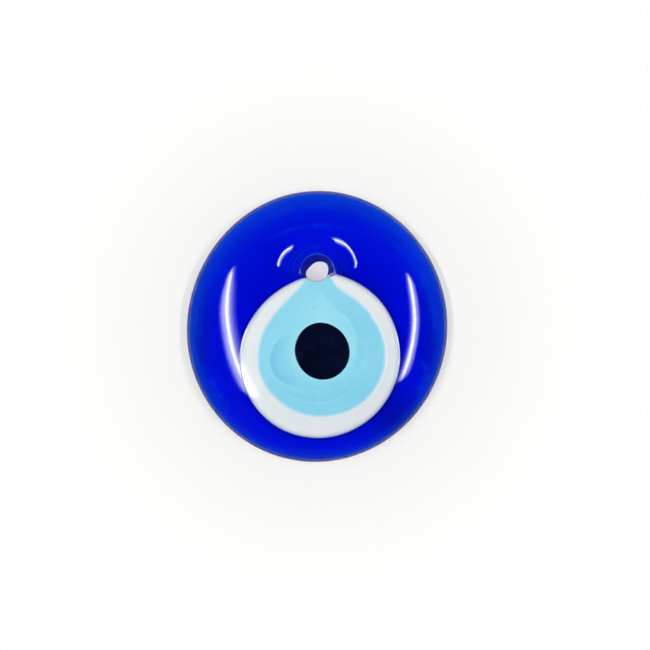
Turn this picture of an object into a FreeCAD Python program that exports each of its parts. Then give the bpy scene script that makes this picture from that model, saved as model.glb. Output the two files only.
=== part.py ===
import FreeCAD, Part
import math
import os
import sys
import Sketcher
from FreeCAD import Vector, Placement, Rotation

# Evil eye ornament: a hand-poured glass bead, pressed flat and pierced while hot.
# Four gathers of glass are dropped one on the other and fuse face to face: the cobalt
# disc, the white layer, the light blue layer and the dark pupil drop.
# Frame: millimetres, the bead lies on its flat back. Origin at the middle of the back,
# +Z out of the eye's face, +Y towards the hanging hole.

os.makedirs("parts", exist_ok=True)

doc = FreeCAD.newDocument("evil_eye_ornament")

# ---------------------------------------------------------------- driving sizes
sheet = doc.addObject("Spreadsheet::Sheet", "dims")
cells = [
    # outline and section of the pressed bead
    ("half_width", 30.575),      # mean radius of the outline, before it is stretched
    ("squeeze_x", 0.9796),       # the outline is a slightly tall oval
    ("stretch_y", 1.0204),
    ("oval_turn", -9.9),         # the oval's long axis leans this far from +Y, degrees
    ("ground_off", 0.05),        # taken off the back to make it truly flat
    ("heel_radius", 2.4),        # rounding between the flat back and the widest line
    ("edge_radius", 2.6),        # rounding just above the widest line
    ("shoulder_radius", 12.0),   # roll-off of the face
    ("crown_radius", 45.0),
    ("cap_radius", 180.0),       # nearly flat middle of the face
    ("crown_start", 17.0),       # radius where the cap meets the crown arc
    ("shoulder_start", 25.0),    # radius where the crown meets the shoulder arc
    # pierced hanging hole
    ("hole_x", -0.2),
    ("hole_y", 12.6),
    ("throat_radius", 2.45),
    ("throat_top", 4.2),         # height where the straight throat opens into the cone
    ("rim_radius", 4.1),         # where the punched cone meets the face
    ("rim_height", 7.1),
    ("dish_radius", 10.5),       # the face sinks towards the hole from here
    ("dish_roll", 16.0),
    ("dish_tilt", -4.0),         # the sunk ring follows the slope of the face, degrees
    ("dish_level", 8.72),
    ("back_relief", 0.35),       # rounding at the back end of the throat
    # layers: outline, thickness from the face down, and how far each stands proud
    ("white_major", 18.63),
    ("white_minor", 17.79),
    ("white_turn", 55.0),
    ("white_x", 0.913),
    ("white_y", -6.99),
    ("white_depth", 2.3),
    ("white_proud", 0.08),
    ("blue_radius", 14.44),
    ("blue_x", 1.06),
    ("blue_y", -6.205),
    ("tip_left_x", -2.69),
    ("tip_right_x", 3.72),
    ("tip_y", 10.24),
    ("tip_top", 12.0),
    ("blue_depth", 1.5),
    ("blue_proud", 0.16),
    ("pupil_x", 1.209),
    ("pupil_y", -5.643),
    ("pupil_major", 6.49),
    ("pupil_minor", 6.27),
    ("pupil_depth", 1.0),
    ("pupil_proud", 0.24),
    ("layer_base", 3.2),         # no layer reaches lower than this
    ("tall", 14.0),              # cutting solids reach this high
]
S = {}
for i, (name, value) in enumerate(cells, start=1):
    sheet.set("A%d" % i, name)
    sheet.set("B%d" % i, "%.6g" % value)
    sheet.setAlias("B%d" % i, name)
    S[name] = float(value)
doc.recompute()


def plane_of(body, role):
    for feature in body.Origin.OriginFeatures:
        if feature.Role == role:
            return feature
    raise RuntimeError("no plane " + role)


def new_sketch(body, name, role):
    sk = body.newObject("Sketcher::SketchObject", name)
    sk.AttachmentSupport = [(plane_of(body, role), "")]
    sk.MapMode = "FlatFace"
    return sk


def bind(sk, name, kind_args, cell_expression):
    index = sk.addConstraint(Sketcher.Constraint(*kind_args))
    sk.renameConstraint(index, name)
    sk.setExpression("Constraints." + name, cell_expression)
    return index


def arc(centre, radius, a0, a1):
    circle = Part.Circle(Vector(centre[0], centre[1], 0), Vector(0, 0, 1), radius)
    return Part.ArcOfCircle(circle, a0, a1)


# ---------------------------------------------------------------- section of the bead
# Half section in the XZ plane: flat back, heel, edge, shoulder, crown and cap arcs,
# each one tangent to the next.
r0 = S["half_width"]
heel, edge = S["heel_radius"], S["edge_radius"]
shoulder, crown, cap = S["shoulder_radius"], S["crown_radius"], S["cap_radius"]
s_cap = math.asin(S["crown_start"] / cap)
s_crown = math.asin(math.sin(s_cap) + (S["shoulder_start"] - S["crown_start"]) / crown)
s_edge = math.asin((r0 - edge - S["shoulder_start"] + shoulder * math.sin(s_crown)) / (shoulder - edge))
c_heel = (r0 - heel, heel)
c_edge = (r0 - edge, heel)
p_edge = (c_edge[0] + edge * math.sin(s_edge), c_edge[1] + edge * math.cos(s_edge))
c_shoulder = (p_edge[0] - shoulder * math.sin(s_edge), p_edge[1] - shoulder * math.cos(s_edge))
p_crown = (c_shoulder[0] + shoulder * math.sin(s_crown), c_shoulder[1] + shoulder * math.cos(s_crown))
c_crown = (p_crown[0] - crown * math.sin(s_crown), p_crown[1] - crown * math.cos(s_crown))
p_cap = (c_crown[0] + crown * math.sin(s_cap), c_crown[1] + crown * math.cos(s_cap))
c_cap = (0.0, p_cap[1] - cap * math.cos(s_cap))
top = c_cap[1] + cap
half_pi = math.pi / 2.0

form = doc.addObject("PartDesign::Body", "bead_form")
sk = new_sketch(form, "bead_section", "XZ_Plane")
sk.addGeometry([
    Part.LineSegment(Vector(0, 0, 0), Vector(c_heel[0], 0, 0)),                      # 0 flat back
    arc(c_heel, heel, -half_pi, 0.0),                                                # 1 heel
    arc(c_edge, edge, 0.0, half_pi - s_edge),                                        # 2 edge
    arc(c_shoulder, shoulder, half_pi - s_edge, half_pi - s_crown),                  # 3 shoulder
    arc(c_crown, crown, half_pi - s_crown, half_pi - s_cap),                         # 4 crown
    arc(c_cap, cap, half_pi - s_cap, half_pi),                                       # 5 cap
    Part.LineSegment(Vector(0, top, 0), Vector(0, 0, 0)),                            # 6 axis line
], False)
sk.addConstraint([
    Sketcher.Constraint("Coincident", 0, 1, -1, 1),
    Sketcher.Constraint("Horizontal", 0),
    Sketcher.Constraint("Tangent", 0, 2, 1, 1),
    Sketcher.Constraint("Tangent", 1, 2, 2, 1),
    Sketcher.Constraint("Tangent", 2, 2, 3, 1),
    Sketcher.Constraint("Tangent", 3, 2, 4, 1),
    Sketcher.Constraint("Tangent", 4, 2, 5, 1),
    Sketcher.Constraint("PointOnObject", 5, 3, -2),
    Sketcher.Constraint("Coincident", 5, 2, 6, 1),
    Sketcher.Constraint("PointOnObject", 5, 2, -2),
    Sketcher.Constraint("Coincident", 6, 2, 0, 1),
    Sketcher.Constraint("Horizontal", 1, 3, 1, 2),
])
bind(sk, "heel", ("Radius", 1, heel), "dims.heel_radius")
bind(sk, "edge", ("Radius", 2, edge), "dims.edge_radius")
bind(sk, "shoulder", ("Radius", 3, shoulder), "dims.shoulder_radius")
bind(sk, "crown", ("Radius", 4, crown), "dims.crown_radius")
bind(sk, "cap", ("Radius", 5, cap), "dims.cap_radius")
bind(sk, "widest", ("DistanceX", -1, 1, 1, 2, r0), "dims.half_width")
bind(sk, "crown_from", ("DistanceX", -1, 1, 4, 2, S["crown_start"]), "dims.crown_start")
bind(sk, "shoulder_from", ("DistanceX", -1, 1, 3, 2, S["shoulder_start"]), "dims.shoulder_start")
turn = form.newObject("PartDesign::Revolution", "bead_turned")
turn.Profile = sk
turn.ReferenceAxis = (sk, ["V_Axis"])
turn.Angle = 360.0
doc.recompute()

# The round form is stretched to the oval, then turned so the oval leans a little.
oval = doc.addObject("Part::Scale", "oval_form")
oval.Base = form
oval.Uniform = False
oval.ZScale = 1.0
oval.setExpression("XScale", "dims.squeeze_x")
oval.setExpression("YScale", "dims.stretch_y")
leaning = doc.addObject("Part::Compound", "leaning_form")
leaning.Links = [oval]
leaning.Placement = Placement(Vector(0, 0, -S["ground_off"]), Rotation(Vector(0, 0, 1), S["oval_turn"]))
leaning.setExpression("Placement.Base.z", "-dims.ground_off * 1 mm")
leaning.setExpression("Placement.Rotation.Angle", "dims.oval_turn * 1 deg")

# The back is one true plane at Z = 0, where the bead was pressed on a flat plate.
plate = doc.addObject("Part::Box", "pressing_plate")
plate.Length, plate.Width, plate.Height = 100.0, 100.0, 10.0
plate.Placement = Placement(Vector(-50, -50, -10), Rotation())
flat = doc.addObject("Part::Cut", "flat_backed_form")
flat.Base = leaning
flat.Tool = plate
doc.recompute()

# ---------------------------------------------------------------- hanging hole
# Punched from the face: straight throat at the back, opening upwards in a steep cone.
punch = doc.addObject("PartDesign::Body", "hole_punch")
sk = new_sketch(punch, "punch_section", "XZ_Plane")
rt, zt, rr, zr = S["throat_radius"], S["throat_top"], S["rim_radius"], S["rim_height"]
tall, relief = S["tall"], S["back_relief"]
r_top = rt + (rr - rt) * (tall - zt) / (zr - zt)
pts = [(0, -1.0), (rt + relief + 1.0, -1.0), (rt, relief), (rt, zt), (rr, zr), (r_top, tall), (0, tall)]
for a, b in zip(pts, pts[1:] + pts[:1]):
    sk.addGeometry(Part.LineSegment(Vector(a[0], a[1], 0), Vector(b[0], b[1], 0)), False)
n = len(pts)
sk.addConstraint([Sketcher.Constraint("Coincident", i, 2, (i + 1) % n, 1) for i in range(n)])
sk.addConstraint([
    Sketcher.Constraint("Horizontal", 0),
    Sketcher.Constraint("PointOnObject", 0, 1, -2),
    Sketcher.Constraint("Vertical", 2),
    Sketcher.Constraint("Horizontal", 5),
    Sketcher.Constraint("PointOnObject", 6, 1, -2),
    Sketcher.Constraint("Parallel", 3, 4),
])
bind(sk, "below", ("DistanceY", 0, 1, -1, 1, 1.0), "1 mm")
bind(sk, "flare", ("DistanceX", -1, 1, 0, 2, rt + relief + 1.0), "dims.throat_radius + dims.back_relief + 1")
bind(sk, "throat_r", ("DistanceX", -1, 1, 1, 2, rt), "dims.throat_radius")
bind(sk, "relief_z", ("DistanceY", -1, 1, 1, 2, relief), "dims.back_relief")
bind(sk, "throat_z", ("DistanceY", -1, 1, 2, 2, zt), "dims.throat_top")
bind(sk, "rim_r", ("DistanceX", -1, 1, 3, 2, rr), "dims.rim_radius")
bind(sk, "rim_z", ("DistanceY", -1, 1, 3, 2, zr), "dims.rim_height")
bind(sk, "tall_z", ("DistanceY", -1, 1, 4, 2, tall), "dims.tall")
rev = punch.newObject("PartDesign::Revolution", "punch_turned")
rev.Profile = sk
rev.ReferenceAxis = (sk, ["V_Axis"])
rev.Angle = 360.0
punch.Placement = Placement(Vector(S["hole_x"], S["hole_y"], 0), Rotation())
punch.setExpression("Placement.Base.x", "dims.hole_x * 1 mm")
punch.setExpression("Placement.Base.y", "dims.hole_y * 1 mm")

# The glass sinks towards the hole in a wide soft ring around it.
dish = doc.addObject("PartDesign::Body", "sunk_ring")
sk = new_sketch(dish, "ring_section", "XZ_Plane")
rd, roll = S["dish_radius"], S["dish_roll"]
lean = math.asin(rd / cap)
z_out = -(cap - cap * math.cos(lean))
c_roll = (rd - roll * math.sin(lean), z_out - roll * math.cos(lean))
r_in = 2.0
s_in = math.asin((r_in - c_roll[0]) / roll)
p_in = (r_in, c_roll[1] + roll * math.cos(s_in))
up = 4.0
geo = [
    Part.LineSegment(Vector(0, p_in[1], 0), Vector(p_in[0], p_in[1], 0)),
    arc(c_roll, roll, half_pi - lean, half_pi - s_in),
    Part.LineSegment(Vector(rd, z_out, 0), Vector(rd, up, 0)),
    Part.LineSegment(Vector(rd, up, 0), Vector(0, up, 0)),
    Part.LineSegment(Vector(0, up, 0), Vector(0, p_in[1], 0)),
]
sk.addGeometry(geo, False)
sk.addConstraint([
    Sketcher.Constraint("Coincident", 0, 2, 1, 2),
    Sketcher.Constraint("Coincident", 1, 1, 2, 1),
    Sketcher.Constraint("Coincident", 2, 2, 3, 1),
    Sketcher.Constraint("Coincident", 3, 2, 4, 1),
    Sketcher.Constraint("Coincident", 4, 2, 0, 1),
    Sketcher.Constraint("Horizontal", 0),
    Sketcher.Constraint("Vertical", 2),
    Sketcher.Constraint("Horizontal", 3),
    Sketcher.Constraint("PointOnObject", 4, 1, -2),
    Sketcher.Constraint("PointOnObject", 4, 2, -2),
])
bind(sk, "roll", ("Radius", 1, roll), "dims.dish_roll")
bind(sk, "ring_r", ("DistanceX", -1, 1, 2, 1, rd), "dims.dish_radius")
bind(sk, "inner_r", ("DistanceX", -1, 1, 0, 2, r_in), "2 mm")
bind(sk, "ring_z", ("DistanceY", 2, 1, -1, 1, -z_out), "dims.cap_radius - sqrt(dims.cap_radius ^ 2 - dims.dish_radius ^ 2)")
bind(sk, "ring_up", ("DistanceY", -1, 1, 2, 2, up), "4 mm")
bind(sk, "centre_x", ("DistanceX", 1, 3, 2, 1, rd - c_roll[0]), "dims.dish_roll * dims.dish_radius / dims.cap_radius")
rev = dish.newObject("PartDesign::Revolution", "ring_turned")
rev.Profile = sk
rev.ReferenceAxis = (sk, ["V_Axis"])
rev.Angle = 360.0
dish.Placement = Placement(Vector(S["hole_x"], S["hole_y"], S["dish_level"]), Rotation(Vector(1, 0, 0), S["dish_tilt"]))
dish.setExpression("Placement.Base.x", "dims.hole_x * 1 mm")
dish.setExpression("Placement.Base.y", "dims.hole_y * 1 mm")
dish.setExpression("Placement.Base.z", "dims.dish_level * 1 mm")
doc.recompute()

sunk = doc.addObject("Part::Cut", "form_with_ring")
sunk.Base = flat
sunk.Tool = dish
whole = doc.addObject("Part::Cut", "pierced_form")
whole.Base = sunk
whole.Tool = punch
doc.recompute()


def shifted(name, expression):
    # the whole form again, moved up or down, so that a layer keeps one thickness
    # where it follows the dome and where it runs down into the hole
    copy = doc.addObject("Part::Compound", name)
    copy.Links = [whole]
    copy.setExpression("Placement.Base.z", expression)
    return copy


def cut(name, base, tool):
    obj = doc.addObject("Part::Cut", name)
    obj.Base = base
    obj.Tool = tool
    return obj


def common(name, base, tool):
    obj = doc.addObject("Part::Common", name)
    obj.Base = base
    obj.Tool = tool
    return obj


def oval_prism(name, key_x, key_y, key_major, key_minor, turn_value, turn_expression):
    ring = doc.addObject("Part::Ellipse", name + "_outline")
    ring.setExpression("MajorRadius", "dims." + key_major + " * 1 mm")
    ring.setExpression("MinorRadius", "dims." + key_minor + " * 1 mm")
    ring.Placement = Placement(Vector(S[key_x], S[key_y], S["layer_base"]), Rotation(Vector(0, 0, 1), turn_value))
    ring.setExpression("Placement.Base.x", "dims." + key_x + " * 1 mm")
    ring.setExpression("Placement.Base.y", "dims." + key_y + " * 1 mm")
    ring.setExpression("Placement.Base.z", "dims.layer_base * 1 mm")
    ring.setExpression("Placement.Rotation.Angle", turn_expression)
    prism = doc.addObject("Part::Extrusion", name + "_prism")
    prism.Base = ring
    prism.DirMode = "Custom"
    prism.Dir = Vector(0, 0, 1)
    prism.Solid = True
    prism.setExpression("LengthFwd", "dims.tall * 1 mm")
    return prism


# ---------------------------------------------------------------- layer outlines
white_prism = oval_prism("white", "white_x", "white_y", "white_major", "white_minor",
                         S["white_turn"], "dims.white_turn * 1 deg")
pupil_prism = oval_prism("pupil", "pupil_x", "pupil_y", "pupil_major", "pupil_minor",
                         90.0, "90 deg")

# Light blue layer: a round drop drawn out to a tip that runs into the hole.
blue_prism = doc.addObject("PartDesign::Body", "light_blue_prism")
sk = new_sketch(blue_prism, "teardrop", "XY_Plane")
bc, br = (S["blue_x"], S["blue_y"]), S["blue_radius"]


def tangent_angle(point, side):
    dx, dy = point[0] - bc[0], point[1] - bc[1]
    return math.atan2(dy, dx) + side * math.acos(br / math.hypot(dx, dy))


tip_l = (S["tip_left_x"], S["tip_y"])
tip_r = (S["tip_right_x"], S["tip_y"])
tip_t = (S["hole_x"], S["tip_top"])
a_l, a_r = tangent_angle(tip_l, 1.0), tangent_angle(tip_r, -1.0)
on = lambda a: (bc[0] + br * math.cos(a), bc[1] + br * math.sin(a))
sk.addGeometry([
    arc(bc, br, a_l, a_r + 2.0 * math.pi),                                           # 0 round belly
    Part.LineSegment(Vector(*on(a_r), 0), Vector(*tip_r, 0)),                         # 1 right flank
    Part.LineSegment(Vector(*tip_r, 0), Vector(*tip_t, 0)),                           # 2 into the hole
    Part.LineSegment(Vector(*tip_t, 0), Vector(*tip_l, 0)),                           # 3 out of the hole
    Part.LineSegment(Vector(*tip_l, 0), Vector(*on(a_l), 0)),                         # 4 left flank
], False)
sk.addConstraint([
    Sketcher.Constraint("Tangent", 0, 2, 1, 1),
    Sketcher.Constraint("Coincident", 1, 2, 2, 1),
    Sketcher.Constraint("Coincident", 2, 2, 3, 1),
    Sketcher.Constraint("Coincident", 3, 2, 4, 1),
    Sketcher.Constraint("Tangent", 4, 2, 0, 1),
])
bind(sk, "belly_r", ("Radius", 0, br), "dims.blue_radius")
bind(sk, "belly_x", ("DistanceX", -1, 1, 0, 3, bc[0]), "dims.blue_x")
bind(sk, "belly_y", ("DistanceY", 0, 3, -1, 1, -bc[1]), "-dims.blue_y")
bind(sk, "tip_lx", ("DistanceX", 3, 2, -1, 1, -tip_l[0]), "-dims.tip_left_x")
bind(sk, "tip_ly", ("DistanceY", -1, 1, 3, 2, tip_l[1]), "dims.tip_y")
bind(sk, "tip_rx", ("DistanceX", -1, 1, 1, 2, tip_r[0]), "dims.tip_right_x")
bind(sk, "tip_ry", ("DistanceY", -1, 1, 1, 2, tip_r[1]), "dims.tip_y")
bind(sk, "tip_tx", ("DistanceX", 2, 2, -1, 1, -tip_t[0]), "-dims.hole_x")
bind(sk, "tip_ty", ("DistanceY", -1, 1, 2, 2, tip_t[1]), "dims.tip_top")
pad = blue_prism.newObject("PartDesign::Pad", "teardrop_pad")
pad.Profile = sk
pad.setExpression("Length", "dims.tall * 1 mm")
blue_prism.Placement = Placement(Vector(0, 0, S["layer_base"]), Rotation())
blue_prism.setExpression("Placement.Base.z", "dims.layer_base * 1 mm")
doc.recompute()

# ---------------------------------------------------------------- the four glass pieces
# Space each layer takes out of the one below it.
white_room = cut("white_room", white_prism, shifted("floor_under_white", "-dims.white_depth * 1 mm"))
blue_room = cut("light_blue_room", blue_prism, shifted("floor_under_light_blue", "-dims.blue_depth * 1 mm"))
pupil_room = cut("pupil_room", pupil_prism, shifted("floor_under_pupil", "-dims.pupil_depth * 1 mm"))

disc = cut("cobalt_disc", whole, white_room)

white_fill = common("white_fill", white_room, shifted("face_of_white", "dims.white_proud * 1 mm"))
white = cut("white_layer", white_fill, blue_room)

blue_fill = common("light_blue_fill", blue_room, shifted("face_of_light_blue", "dims.blue_proud * 1 mm"))
blue = cut("light_blue_layer", blue_fill, pupil_room)

pupil = common("pupil_drop", pupil_room, shifted("face_of_pupil", "dims.pupil_proud * 1 mm"))
doc.recompute()

pieces = [
    (disc, "cobalt_glass_disc"),
    (white, "white_glass_layer"),
    (blue, "light_blue_glass_layer"),
    (pupil, "pupil_glass_drop"),
]
for obj, label in pieces:
    obj.Label = label
doc.recompute()

# ---------------------------------------------------------------- checks, then the files
for obj in doc.Objects:
    if "Invalid" in obj.State or "Error" in obj.State:
        sys.exit("failed object: %s %s" % (obj.Name, obj.State))
shapes = []
for obj, label in pieces:
    shape = obj.Shape
    if shape.isNull() or not shape.isValid():
        sys.exit("bad shape: " + label)
    solids = shape.Solids
    if len(solids) != 1:
        sys.exit("%s has %d solids" % (label, len(solids)))
    shapes.append((label, shape, solids[0]))
whole_volume = whole.Shape.Volume
print("whole form %.1f mm3, crown height %.2f mm" % (whole_volume, top))
for label, shape, solid in shapes:
    box = solid.BoundBox
    print("%-24s %8.1f mm3  z %.2f..%.2f" % (label, solid.Volume, box.ZMin, box.ZMax))
for i in range(len(shapes)):
    for j in range(i + 1, len(shapes)):
        overlap = shapes[i][2].common(shapes[j][2]).Volume
        if overlap > 0.01:
            sys.exit("%s and %s overlap by %.3f mm3" % (shapes[i][0], shapes[j][0], overlap))
for label, shape, solid in shapes:
    shape.exportStep(os.path.join("parts", label + ".step"))
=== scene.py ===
import math

import bpy
import numpy as np
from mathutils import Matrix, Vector


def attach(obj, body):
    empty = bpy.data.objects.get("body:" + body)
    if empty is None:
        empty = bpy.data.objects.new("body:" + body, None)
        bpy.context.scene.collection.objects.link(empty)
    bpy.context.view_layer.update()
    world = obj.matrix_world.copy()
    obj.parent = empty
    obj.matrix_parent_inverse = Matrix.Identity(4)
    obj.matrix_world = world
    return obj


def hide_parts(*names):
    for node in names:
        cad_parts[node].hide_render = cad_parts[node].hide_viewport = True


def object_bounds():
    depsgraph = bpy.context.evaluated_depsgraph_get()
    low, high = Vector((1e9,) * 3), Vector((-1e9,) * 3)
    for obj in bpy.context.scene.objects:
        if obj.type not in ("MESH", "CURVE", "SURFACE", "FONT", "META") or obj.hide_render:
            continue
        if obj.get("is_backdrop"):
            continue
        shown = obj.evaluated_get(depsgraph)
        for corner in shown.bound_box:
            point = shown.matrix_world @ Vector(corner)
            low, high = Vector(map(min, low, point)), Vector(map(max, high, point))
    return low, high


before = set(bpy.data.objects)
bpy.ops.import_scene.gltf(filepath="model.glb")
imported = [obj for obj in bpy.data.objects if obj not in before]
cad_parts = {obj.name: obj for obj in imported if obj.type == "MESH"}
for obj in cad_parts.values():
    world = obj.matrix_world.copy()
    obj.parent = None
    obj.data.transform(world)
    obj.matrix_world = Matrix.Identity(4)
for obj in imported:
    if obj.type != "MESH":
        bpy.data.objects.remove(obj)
cad_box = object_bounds()
MM = 0.001

# =====================================================================================
# Shape of the bead, in millimetres: one smooth skin that every glass layer follows
# =====================================================================================
R_MEAN = 30.54
CROWN = 9.2          # height of the face over the middle
WIDEST = 2.9         # height of the widest line
HX, HY = -0.2, 12.6  # axis of the hanging hole
HEEL = 2.9


def outline(th):
    """Radius of the hand-poured outline: a slightly leaning oval with soft bumps."""
    return (R_MEAN - 0.124 * np.sin(th) - 0.603 * np.cos(2 * th) + 0.216 * np.sin(2 * th)
            + 0.018 * np.cos(3 * th) - 0.097 * np.sin(3 * th)
            + 0.046 * np.cos(4 * th) + 0.012 * np.sin(4 * th))


def smooth_table(x, knots, window, log=False):
    k = np.array(knots, float)
    y = np.interp(x, k[:, 0], np.log(k[:, 1]) if log else k[:, 1])
    ker = np.hanning(2 * window + 1)
    ker /= ker.sum()
    y = np.convolve(np.concatenate([np.full(window, y[0]), y, np.full(window, y[-1])]), ker, "valid")
    return np.exp(y) if log else y


# radius of curvature (mm) against slope (degrees): flat middle, crown, rolled rim
CURVE = [(0, 190), (4.5, 150), (6.5, 60), (10, 42), (15, 30), (20, 15), (28, 12.7),
         (38, 9.8), (50, 2.8), (65, 1.9), (90, 1.75)]
_s = np.linspace(0, math.pi / 2, 1801)
_rho = smooth_table(np.degrees(_s), CURVE, 90, log=True)
_m, _sm, _ds = 0.5 * (_rho[1:] + _rho[:-1]), 0.5 * (_s[1:] + _s[:-1]), _s[1] - _s[0]
SEC_R = np.concatenate([[0], np.cumsum(_m * np.cos(_sm) * _ds)])
SEC_D = np.concatenate([[0], np.cumsum(_m * np.sin(_sm) * _ds)])
SEC_Q = SEC_R / SEC_R[-1]
SEC_Z = CROWN - SEC_D * (CROWN - WIDEST) / SEC_D[-1]

# slope of the sunk ring against the distance from the hole
RING = [(0, 0.50), (4.2, 0.46), (6.0, 0.45), (7.2, 0.43), (8.0, 0.392), (8.7, 0.349), (9.4, 0.305),
        (10.3, 0.13), (11.3, 0.015), (12.2, 0.0), (60, 0.0)]
RING_R = np.linspace(0, 60, 2401)
_sl = smooth_table(RING_R, RING, 30)
_dep = np.concatenate([[0], np.cumsum(0.5 * (_sl[1:] + _sl[:-1]) * (RING_R[1] - RING_R[0]))])
RING_D = _dep[-1] - _dep


def smoothstep(a, b, x):
    t = np.clip((x - a) / (b - a), 0.0, 1.0)
    return t * t * (3 - 2 * t)


def off_up(ph):
    """Degrees away from straight up, as seen from the hole."""
    return np.abs((np.degrees(ph) - 90.0 + 180.0) % 360.0 - 180.0)


def periodic(knots):
    """Closed smooth curve (natural periodic cubic) through (angle, radius) pairs."""
    a = np.array([k[0] for k in knots], float)
    v = np.array([k[1] for k in knots], float)
    n = len(a)
    h = np.diff(np.concatenate([a, [a[0] + 360.0]]))
    A, rhs = np.zeros((n, n)), np.zeros(n)
    for i in range(n):
        p, q = (i - 1) % n, (i + 1) % n
        A[i, p] += h[p]
        A[i, i] += 2 * (h[p] + h[i])
        A[i, q] += h[i]
        rhs[i] = 6 * ((v[q] - v[i]) / h[i] - (v[i] - v[p]) / h[p])
    m = np.linalg.solve(A, rhs)

    def f(deg):
        d = (np.asarray(deg, float) - a[0]) % 360.0 + a[0]
        i = np.clip(np.searchsorted(a, d, "right") - 1, 0, n - 1)
        j = (i + 1) % n
        t, hh = d - a[i], h[i]
        s = hh - t
        return (m[i] * s ** 3 / (6 * hh) + m[j] * t ** 3 / (6 * hh)
                + (v[i] / hh - m[i] * hh / 6) * s + (v[j] / hh - m[j] * hh / 6) * t)
    return f


# uneven edge of the pierced opening, seen from its axis
opening = periodic([(0, 2.72), (22, 2.95), (40, 3.0), (66, 2.6), (92, 2.2), (115, 1.93), (135, 1.83),
                    (152, 1.93), (170, 2.18), (182, 2.38), (204, 2.48), (224, 2.40), (246, 2.22),
                    (265, 2.12), (285, 2.15), (315, 2.36), (337, 2.62)])


def throat(ph):
    return opening(np.degrees(ph))


def throat_top(ph):
    """Height where the cone of the punch meets the bare opening: deep at the top, high by the layers."""
    return 1.3 + 2.9 * smoothstep(95.0, 135.0, off_up(ph))


def lip(ph):
    """Radius of the rim where the cone of the punch breaks the face."""
    return 4.0 + 0.25 * np.cos(ph) + 0.12 * np.sin(ph)


def smin(a, b, k):
    h = np.clip(0.5 + 0.5 * (b - a) / k, 0, 1)
    return b * (1 - h) + a * h - k * h * (1 - h)


def wobble(x, y):
    """Slow hand-made unevenness of the fire-polished face."""
    return (0.016 * np.sin(0.23 * x + 0.9) * np.cos(0.19 * y - 0.4)
            + 0.004 * np.sin(0.41 * x - 0.33 * y + 2.1))


def level(x, y):
    return np.hypot(x, y) / outline(np.arctan2(y, x))


def skin(x, y):
    """Height of the face, with the sunk ring and the wall of the punched cone."""
    q = level(x, y)
    ph, rho = np.arctan2(y - HY, x - HX), np.hypot(x - HX, y - HY)
    ring = 1.0 - 0.72 * smoothstep(79.0, 107.0, off_up(ph))
    low = smoothstep(95.0, 135.0, off_up(ph))
    # faint turning marks of the hot punch round the hole, and the bead of its rim
    marks = (1 - low) * (0.008 * np.sin(2 * math.pi * (rho - 4.2) / 1.05) * np.exp(-((rho - 5.7) / 1.1) ** 2)
                         + 0.018 * np.exp(-((rho - lip(ph) - 0.20) / 0.24) ** 2))
    face = (np.interp(q, SEC_Q, SEC_Z) - ring * np.interp(rho, RING_R, RING_D) + marks
            + wobble(x, y) * (1 - smoothstep(0.9, 0.99, q)))
    thr, zt = throat(ph), throat_top(ph)
    steep = (6.35 - 1.3) / (lip(ph) - thr) * (1 - low) + 11.0 * low
    wall = zt + (rho - thr) * steep
    return np.where(rho < 9.0, smin(face, wall, 0.16 + 0.34 * low), face)


def along_ray_to_throat(cx, cy, deg):
    """Distance from (cx, cy) along each ray to the near edge of the opening, or inf."""
    th = np.radians(deg)
    r = np.arange(12.0, 24.0, 0.01)
    x = cx + np.outer(np.cos(th), r)
    y = cy + np.outer(np.sin(th), r)
    inside = np.hypot(x - HX, y - HY) < throat(np.arctan2(y - HY, x - HX)) + 0.02
    hit = inside.any(axis=1)
    return np.where(hit, r[np.argmax(inside, axis=1)], np.inf)


WHITE_C, BLUE_C, PUPIL_C = (0.9, -7.0), (1.05, -6.3), (1.2, -5.73)
white_curve = periodic([(0, 18.08), (20, 18.24), (40, 18.58), (60, 18.83), (73, 19.03), (80, 19.28),
                        (82.6, 19.3), (85, 18.75), (88, 18.3), (95, 18.3), (100, 18.4), (104, 18.42),
                        (110, 18.26), (120, 18.06), (135, 17.97), (150, 18.08), (165, 18.38), (180, 18.6),
                        (195, 18.76), (210, 18.87), (228, 18.95), (242, 18.92), (255, 18.76), (270, 18.6),
                        (285, 18.38), (300, 18.18), (315, 18.07), (330, 18.0), (345, 18.05)])
blue_curve = periodic([(0, 14.75), (15, 14.56), (30, 14.42), (45, 14.56), (60, 14.85), (70, 15.24),
                       (76, 15.8), (80, 16.55), (82, 17.3), (84, 17.72), (86, 17.55), (88, 17.3), (93, 17.3),
                       (99, 17.35), (102, 17.2), (104, 16.95), (106, 16.62), (109, 16.05), (113, 15.5),
                       (120, 14.93), (130, 14.46), (140, 14.32), (152, 14.33), (165, 14.5), (180, 14.72),
                       (195, 14.98), (205, 15.04), (220, 14.93), (235, 14.75), (250, 14.68), (265, 14.58),
                       (280, 14.57), (300, 14.68), (320, 14.78), (340, 14.82)])
pupil_curve = periodic([(0, 6.34), (25, 6.24), (45, 6.26), (70, 6.4), (90, 6.6), (110, 6.67), (130, 6.63),
                        (155, 6.47), (180, 6.36), (205, 6.28), (230, 6.38), (255, 6.53), (280, 6.61),
                        (300, 6.59), (325, 6.5), (345, 6.41)])


# =====================================================================================
# Mesh helpers
# =====================================================================================
def make_mesh(name, verts_mm, faces, smooth=True):
    me = bpy.data.meshes.new(name)
    me.from_pydata((np.asarray(verts_mm) * MM).tolist(), [], faces)
    me.validate()
    me.update()
    if smooth:
        me.polygons.foreach_set("use_smooth", [True] * len(me.polygons))
    ob = bpy.data.objects.new(name, me)
    bpy.context.scene.collection.objects.link(ob)
    return ob


def attribute(ob, name, values):
    at = ob.data.attributes.new(name, "FLOAT", "POINT")
    at.data.foreach_set("value", np.asarray(values, np.float32))


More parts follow.
